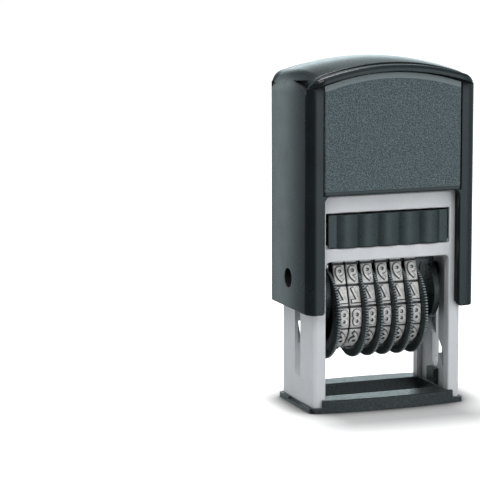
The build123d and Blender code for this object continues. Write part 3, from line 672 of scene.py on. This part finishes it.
def floor_finish():
    """Pale floor. Its glow is for camera rays and is weaker near the object as a painted shadow,
    over a painted contact shadow in its colour. Mirror rays pass it.
    """
    made = Finish("pale_floor", FLOOR, roughness=0.9, specular=0.0)
    # painted contact shadow: the floor's colour darkens where the object closes it in
    shade = made.recess_shade(CONTACT_REACH, closed=0.55, clear=0.97)
    pale = made.mix(made.noise(300.0, detail=1), FLOOR, FLOOR_PALE)
    made.use("Base Color", made.mix(shade, pale, FLOOR_SHADE))
    x, y = made.place()[:2]
    beside = made.minus(made.math("ABSOLUTE", x), SHADE_HALF_W * MM)
    ahead = made.minus(made.math("ABSOLUTE", made.minus(y, SHADE_Y * MM)), SHADE_HALF_D * MM)
    away = made.reach(made.math("MAXIMUM", beside, 0.0), made.math("MAXIMUM", ahead, 0.0))
    rays = made.node("ShaderNodeLightPath").outputs
    # painted shadow: the glow fades in the rectangle under and before the object
    glow = made.spread(away, *FLOOR_GLOW_REACH, *FLOOR_GLOW)
    glow = made.times(glow, made.minus(1.0, shade))
    made.shader.inputs["Emission Color"].default_value = opaque(WHITE)
    made.use("Emission Strength", made.times(glow, rays["Is Camera Ray"]))
    clear = made.node("ShaderNodeBsdfTransparent").outputs[0]
    passed = made.choose(rays["Is Glossy Ray"], made.shader.outputs[0], clear)
    made.tree.links.new(passed, made.tree.nodes["Material Output"].inputs["Surface"])
    return made.material


# ---------------------------------------------------------------- number bands
class BandPath:
    """A band's root line from the side: over the anvil, down, round the drum and up the back."""

    def __init__(self):
        high = box_mm("number_band_1")[1]
        outer = SEAT_GAP + BELT_THICK + PLATE_THICK
        self.axle_z = frame_joint("wheel_spin_1")["pos_m"][2] / MM
        self.nose_z = high[2] - outer - NOSE_R
        self.drum_r = DRUM_R + SEAT_GAP + BELT_THICK
        self.nose_r = NOSE_R + SEAT_GAP + BELT_THICK
        rise = self.nose_z - self.axle_z
        apart = sqrt(NOSE_HALF ** 2 + rise ** 2)
        self.lean = asin((self.drum_r - self.nose_r) / apart) - atan2(NOSE_HALF, rise)
        self.run = sqrt(apart ** 2 - (self.drum_r - self.nose_r) ** 2)
        self.nose_turn = pi / 2 - self.lean
        self.half = (
            NOSE_HALF
            + self.nose_r * self.nose_turn
            + self.run
            + self.drum_r * (pi / 2 + self.lean)
        )
        self.length = 2 * self.half

    def place(self, along, height):
        """(y, z) of a point, from its way along the line and its height over it.

        The way starts at the middle of the anvil and goes to the front first.
        """
        along %= self.length
        side = -1
        if along > self.half:
            along, side = self.length - along, 1
        if along < NOSE_HALF:
            y, z, turn = along, self.nose_z + self.nose_r, pi / 2
        elif along < NOSE_HALF + self.nose_r * self.nose_turn:
            turn = pi / 2 - (along - NOSE_HALF) / self.nose_r
            y = NOSE_HALF + self.nose_r * cos(turn)
            z = self.nose_z + self.nose_r * sin(turn)
        elif along < NOSE_HALF + self.nose_r * self.nose_turn + self.run:
            turn = self.lean
            gone = along - NOSE_HALF - self.nose_r * self.nose_turn
            y = NOSE_HALF + self.nose_r * cos(turn) + gone * sin(turn)
            z = self.nose_z + self.nose_r * sin(turn) - gone * cos(turn)
        else:
            turn = -pi / 2 + (self.half - along) / self.drum_r
            y = self.drum_r * cos(turn)
            z = self.axle_z + self.drum_r * sin(turn)
        return side * (y + height * cos(turn)), z + height * sin(turn)


def glyph(text, offset_mm):
    """One flat-faced symbol, upright in x and y, centred, from 0 to 1 thick.

    Gives its points, its faces, and for each face whether it is on top.
    """
    curve = bpy.data.curves.new("glyph", "FONT")
    curve.body = text
    curve.align_x = "CENTER"
    curve.size = 1.0
    curve.extrude = 0.5
    curve.resolution_u = GLYPH_CURVE
    writer = bpy.data.objects.new("glyph", curve)
    bpy.context.scene.collection.objects.link(writer)
    bpy.context.view_layer.update()
    plain = bpy.data.meshes.new_from_object(writer)
    xs = [v.co.x for v in plain.vertices]
    middle = (max(xs) + min(xs)) / 2
    tall_scale = DIGIT_TALL / FONT_CAP_HEIGHT
    wide_scale = min(DIGIT_WIDE / max(max(xs) - min(xs), 1e-6), tall_scale)
    curve.offset = offset_mm / tall_scale
    bpy.context.view_layer.update()
    shaped = bpy.data.meshes.new_from_object(writer)
    work = bmesh.new()
    work.from_mesh(shaped)
    bmesh.ops.remove_doubles(work, verts=work.verts, dist=1e-5)
    for cut in range(1, GLYPH_CUTS):
        bmesh.ops.bisect_plane(
            work,
            geom=work.verts[:] + work.edges[:] + work.faces[:],
            plane_co=(0, FONT_CAP_HEIGHT * cut / GLYPH_CUTS, 0),
            plane_no=(0, 1, 0),
        )
    bmesh.ops.recalc_face_normals(work, faces=work.faces)
    work.verts.index_update()
    points = [
        (
            (v.co.x - middle) * wide_scale,
            (v.co.y - FONT_CAP_HEIGHT / 2) * tall_scale,
            v.co.z + 0.5,
        )
        for v in work.verts
    ]
    faces = [tuple(v.index for v in face.verts) for face in work.faces]
    tops = [all(points[i][2] > 0.99 for i in face) for face in faces]
    work.free()
    bpy.data.objects.remove(writer)
    return points, faces, tops


def belt(surface, path, x_low, x_high):
    """The endless belt under the plates, with bevelled edges."""
    section = (
        (x_low, -BELT_THICK + BELT_BEVEL),
        (x_low, -BELT_BEVEL),
        (x_low + BELT_BEVEL, 0.0),
        (x_high - BELT_BEVEL, 0.0),
        (x_high, -BELT_BEVEL),
        (x_high, -BELT_THICK + BELT_BEVEL),
        (x_high - BELT_BEVEL, -BELT_THICK),
        (x_low + BELT_BEVEL, -BELT_THICK),
    )
    rows = [
        [(x, *path.place(path.length * i / BELT_SAMPLES, height)) for x, height in section]
        for i in range(BELT_SAMPLES)
    ]
    surface.grid(rows, INK_SLOT, close_rows=True, close_columns=True)


def plate(surface, path, number, x_low, x_high):
    """One digit plate with bevelled edges, bent along the path."""
    pitch = path.length / PLATE_COUNT
    start = (number - 0.5) * pitch + PLATE_GAP / 2
    end = (number + 0.5) * pitch - PLATE_GAP / 2
    rings = []
    for inset, height in PLATE_PROFILE:
        low, high = start + inset, end - inset
        left, right = x_low + inset, x_high - inset
        outline = [(left, along) for along in stepped(low, high, PLATE_STEPS)]
        outline += [(x, high) for x in stepped(left, right, PLATE_COLUMNS)]
        outline += [(right, along) for along in stepped(high, low, PLATE_STEPS)]
        outline += [(x, low) for x in stepped(right, left, PLATE_COLUMNS)]
        rings.append([(x, *path.place(along, height)) for x, along in outline])
    surface.grid(rings, RUBBER_SLOT, close_columns=True)
    columns = stepped(x_low + PLATE_BEVEL, x_high - PLATE_BEVEL, PLATE_COLUMNS, last=True)
    rows = [
        [(x, *path.place(along, PLATE_TOP)) for x in columns]
        for along in stepped(start + PLATE_BEVEL, end - PLATE_BEVEL, PLATE_STEPS, last=True)
    ]
    surface.grid(rows, RUBBER_SLOT)


def number_band(number, path, glyphs, materials):
    """One number band: belt, thirteen plates and their raised digits in mirror writing."""
    low, high = box_mm(f"number_band_{number}")
    surface = Surface()
    belt(surface, path, low[0], high[0])
    middle = (low[0] + high[0]) / 2
    pitch = path.length / PLATE_COUNT
    foot = PLATE_TOP - DIGIT_SUNK
    layers = ((INK_TALL, INK_SLOT), (RELIEF + DIGIT_SUNK, RUBBER_SLOT))
    for index in range(PLATE_COUNT):
        plate(surface, path, index, low[0], high[0])
        symbol = SYMBOLS[(FIRST_DIGIT + index) % PLATE_COUNT]
        for (points, faces, tops), (tall, top_slot) in zip(glyphs[symbol], layers):
            placed = [
                (middle + x, *path.place(index * pitch + y, foot + tall * z))
                for x, y, z in points
            ]
            surface.add(placed, [face for face, top in zip(faces, tops) if top], top_slot)
            surface.add(placed, [face for face, top in zip(faces, tops) if not top], INK_SLOT)
    piece = surface.piece(f"digit_band_{number}", materials, BAND_SHARP)
    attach(piece, "carrier")
    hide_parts(f"number_band_{number}")


# ---------------------------------------------------------------- setting wheels
def tooth_share(turn):
    """0 in a gap and 1 on the round tip of a tooth."""
    wave = 0.5 - 0.5 * cos(TOOTH_COUNT * turn)
    return wave ** TOOTH_ROUND


def disc_row(axle, x, radius, toothed, sunk=0.0):
    """Points round a finger disc. Gaps cut in where it is toothed, and sink sideways by sunk."""
    row = []
    for turn in turns(TOOTH_COUNT * TOOTH_SAMPLES):
        gap = 1 - tooth_share(turn)
        reach = radius - (TOOTH_DEEP * gap if toothed else 0.0)
        row.append((x - sunk * gap, axle.y + reach * cos(turn), axle.z + reach * sin(turn)))
    return row


def setting_wheel(number, materials):
    """Drum under the band, and a finger disc with rounded teeth and radial ribs on both faces."""
    low, high = box_mm(f"setting_wheel_{number}")
    band_low, band_high = box_mm(f"number_band_{number}")
    axle = Vector(frame_joint(f"wheel_spin_{number}")["pos_m"]) / MM
    disc_r = (high[1] - low[1]) / 2
    if low[0] < band_low[0]:
        left, right = low[0], band_low[0] - DISC_GAP
    else:
        left, right = band_high[0] + DISC_GAP, high[0]
    stations = (           # radius, share of the ribs' depth, whether the teeth reach so far in
        (AXLE_HOLE_R, 0.0, False),
        (DRUM_R, 0.0, False),
        (RIB_START_R - RIB_LEAD, 0.0, False),
        (RIB_START_R, RIB_START, False),
        (RIB_START_R + RIB_RISE, 1.0, False),
        (disc_r - TOOTH_START, 1.0, True),
        (disc_r - RIM_BEVEL, 1.0, True),
    )
    rows = [disc_row(axle, right, r, toothed, RIB_DEEP * share) for r, share, toothed in stations]
    rows += [disc_row(axle, right + (left - right) * share, disc_r, True) for share in RIM_SHARES]
    rows += [
        disc_row(axle, left, r, toothed, -RIB_DEEP * share) for r, share, toothed in stations[::-1]
    ]
    surface = Surface()
    surface.grid(rows, close_rows=True, close_columns=True)
    drum = (
        (low[0], AXLE_HOLE_R),
        (low[0], DRUM_R - DRUM_BEVEL),
        (low[0] + DRUM_BEVEL, DRUM_R),
        (high[0] - DRUM_BEVEL, DRUM_R),
        (high[0], DRUM_R - DRUM_BEVEL),
        (high[0], AXLE_HOLE_R),
    )
    rows = [
        [(x, axle.y + r * cos(turn), axle.z + r * sin(turn)) for turn in turns(DRUM_SIDES)]
        for x, r in drum
    ]
    surface.grid(rows, close_rows=True, close_columns=True)
    piece = surface.piece(f"finger_wheel_{number}", materials, WHEEL_SHARP)
    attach(piece, f"wheel_{number}")
    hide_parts(f"setting_wheel_{number}")


# ---------------------------------------------------------------- spring and pad
def coil_spring(material):
    """Compression spring of round wire, each end of the wire closed by a flat face."""
    low, high = box_mm("return_spring")
    coil_r = (high[0] - low[0]) / 2 - WIRE_R
    bottom, top = low[2] + WIRE_R, high[2] - WIRE_R
    count = int(COIL_TURNS * COIL_SAMPLES)
    rows = []
    for i in range(count + 1):
        share = i / count
        turn = 2 * pi * COIL_TURNS * share
        z = bottom + (top - bottom) * share
        out = Vector((cos(turn), sin(turn), 0))
        row = []
        for around in turns(WIRE_SIDES):
            lift = Vector((0, 0, z + WIRE_R * sin(around)))
            row.append(tuple(out * (coil_r + WIRE_R * cos(around)) + lift))
        rows.append(row)
    surface = Surface()
    surface.grid(rows, close_columns=True)
    for row in (rows[0], rows[-1]):
        centre = tuple(sum(p[k] for p in row) / WIRE_SIDES for k in range(3))
        wedges = [(0, 1 + j, 1 + (j + 1) % WIRE_SIDES) for j in range(WIRE_SIDES)]
        surface.add([centre, *row], wedges)
    piece = surface.piece("coil_spring", [material], SPRING_SHARP)
    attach(piece, "frame")
    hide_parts("return_spring")
    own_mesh(piece)


def felt_pad(material):
    """Ink pad: a felt block, crowned towards the type and rounded at its rim."""
    low, high = box_mm("ink_pad")

    def height(x, y):
        inward = min(x - low[0], high[0] - x, y - low[1], high[1] - y)
        share = min(1.0, inward / PAD_RIM)
        curve = 1 - sqrt(max(0.0, 1 - (1 - share) ** 2))
        mid_x, mid_y = (low[0] + high[0]) / 2, (low[1] + high[1]) / 2
        span = max(abs(x - mid_x) / (high[0] - mid_x), abs(y - mid_y) / (high[1] - mid_y))
        return low[2] + PAD_CROWN * span ** 3 + PAD_RIM_DROP * curve

    xs = spaced(low[0], high[0], PAD_COLUMNS)
    ys = spaced(low[1], high[1], PAD_ROWS)
    surface = Surface()
    surface.grid([[(x, y, height(x, y)) for x in xs] for y in ys])
    surface.grid([[(x, y, high[2]) for x in xs] for y in ys])
    border = [(x, ys[0]) for x in xs[:-1]] + [(xs[-1], y) for y in ys[:-1]]
    border += [(x, ys[-1]) for x in xs[:0:-1]] + [(xs[0], y) for y in ys[:0:-1]]
    lower = [(x, y, height(x, y)) for x, y in border]
    upper = [(x, y, high[2]) for x, y in border]
    surface.grid([lower, upper], close_columns=True)
    piece = surface.piece("felt_pad", [material], PAD_SHARP)
    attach(piece, "cartridge")
    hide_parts("ink_pad")


def spaced(low, high, count):
    """Positions from low to high, closer together within the pad's rim at each end."""
    rim, steps = PAD_RIM, PAD_RIM_STEPS
    edge = [low + rim * (i / steps) for i in range(steps)]
    inner = [low + rim + (high - low - 2 * rim) * i / count for i in range(count + 1)]
    return edge + inner + [high - rim * (1 - (i + 1) / steps) for i in range(steps)]


# ---------------------------------------------------------------- stage
def add_camera():
    """Camera at the photograph's place."""
    level_back = cos(CAMERA_ELEVATION)
    back = Vector(
        (
            -sin(CAMERA_AZIMUTH) * level_back,
            -cos(CAMERA_AZIMUTH) * level_back,
            sin(CAMERA_ELEVATION),
        )
    )
    level = Vector((cos(CAMERA_AZIMUTH), -sin(CAMERA_AZIMUTH), 0))
    upright = back.cross(level)
    right = level * cos(CAMERA_ROLL) + upright * sin(CAMERA_ROLL)
    up = back.cross(right)
    data = bpy.data.cameras.new("camera")
    data.sensor_width = SENSOR
    data.lens = FOCAL_PIXELS / IMAGE_SIDE * SENSOR
    data.clip_start = 0.01
    camera = bpy.data.objects.new("camera", data)
    place = (CAMERA_TARGET + back * CAMERA_DISTANCE) * MM
    turn = Matrix((right, up, back)).transposed().to_4x4()
    camera.matrix_world = Matrix.Translation(place) @ turn
    bpy.context.scene.collection.objects.link(camera)
    bpy.context.scene.camera = camera


def add_light(name, place, size, power, mirrored):
    """A soft rectangular studio light that faces the machine."""
    data = bpy.data.lights.new(name, "AREA")
    data.shape = "RECTANGLE"
    data.size, data.size_y = size
    data.energy = power
    light = bpy.data.objects.new(name, data)
    light.location = place
    towards = Vector(LIGHT_AIM) - Vector(place)
    light.rotation_euler = towards.to_track_quat("-Z", "Y").to_euler()
    light.visible_glossy = mirrored
    bpy.context.scene.collection.objects.link(light)


def add_floor(material):
    """Wide pale floor."""
    far = FLOOR_REACH
    corners = [(-far, -far, 0), (far, -far, 0), (far, far, 0), (-far, far, 0)]
    mesh = bpy.data.meshes.new("floor")
    mesh.from_pydata(corners, [], [(0, 1, 2, 3)])
    floor = new_object("floor", mesh, [material], FLOOR_SHARP)


def add_world():
    """White behind the object. Mirror rays see a ring of bright and dark studio walls."""
    world = bpy.data.worlds.new("studio")
    bpy.context.scene.world = world
    world.use_nodes = True
    world.node_tree.nodes.clear()
    made = Nodes(world.node_tree)

    def background(colour, strength):
        inputs = {"Color": opaque(colour), "Strength": strength}
        return made.node("ShaderNodeBackground", inputs).outputs[0]

    rays = made.node("ShaderNodeLightPath").outputs
    direction = made.node("ShaderNodeTexCoord").outputs["Generated"]
    x, y, z = made.node("ShaderNodeSeparateXYZ", {0: direction}).outputs
    around = made.plus(made.times(made.math("ARCTAN2", x, y), 0.5 / pi), 0.5)
    upward = made.plus(made.times(z, 0.5), 0.5)
    walls = made.times(made.ramp(around, STUDIO_RING), made.ramp(upward, STUDIO_RISE))
    tinted = made.node("ShaderNodeVectorMath", {0: walls, 1: RING_TINT}, operation="MULTIPLY")
    soft = background(SOFT_LIGHT, SOFT_STRENGTH)
    mirrored = background(tinted.outputs[0], RING_STRENGTH)
    indirect = made.choose(rays["Is Glossy Ray"], soft, mirrored)
    shown = made.choose(rays["Is Camera Ray"], indirect, background(WHITE, 1.0))
    made.node("ShaderNodeOutputWorld", {0: shown})


# ---------------------------------------------------------------- the scene
def set_finish(names, material):
    """Gives CAD nodes their material."""
    for name in names:
        for slot in NODES[name].material_slots:
            slot.material = material


def dress_cad_nodes():
    """Materials of the pieces that keep their CAD shape."""
    set_finish(["cap_shell"], cap_finish())
    set_finish(["front_label_panel", "back_label_panel"], panel_finish())
    set_finish(["frame"], frame_finish())
    set_finish(["base_foot"], base_finish())
    pin = black_finish("black_pin", PIN, roughness=0.35, grain_mm=0.3, depth_mm=0.006)
    set_finish(["axle_pins"], pin)
    set_finish(["cartridge_tray"], tray_finish())
    carrier = black_finish("black_carrier", CARRIER, roughness=0.28, grain_mm=0.4, depth_mm=0.005)
    set_finish(["left_cheek", "right_cheek", "print_anvil", "axle_spacer"], carrier)
    set_finish(["wheel_axle"], steel_finish("axle_steel", roughness=0.3))


def dress_carrier():
    """Bands and setting wheels."""
    path = BandPath()
    glyphs = {symbol: (glyph(symbol, INK_EDGE), glyph(symbol, DIGIT_BOLD)) for symbol in SYMBOLS}
    band_materials = [rubber_finish(), ink_finish()]
    wheel_materials = [wheel_finish()]
    for number in range(1, BAND_COUNT + 1):
        number_band(number, path, glyphs, band_materials)
        setting_wheel(number, wheel_materials)


def main():
    """Builds the whole scene."""
    bpy.context.scene.view_settings.view_transform = "Standard"
    dress_cad_nodes()
    dress_carrier()
    coil_spring(steel_finish("spring_steel", roughness=0.28))
    felt_pad(felt_finish())
    add_floor(floor_finish())
    add_world()
    for light in LIGHTS:
        add_light(*light)
    add_camera()


main()
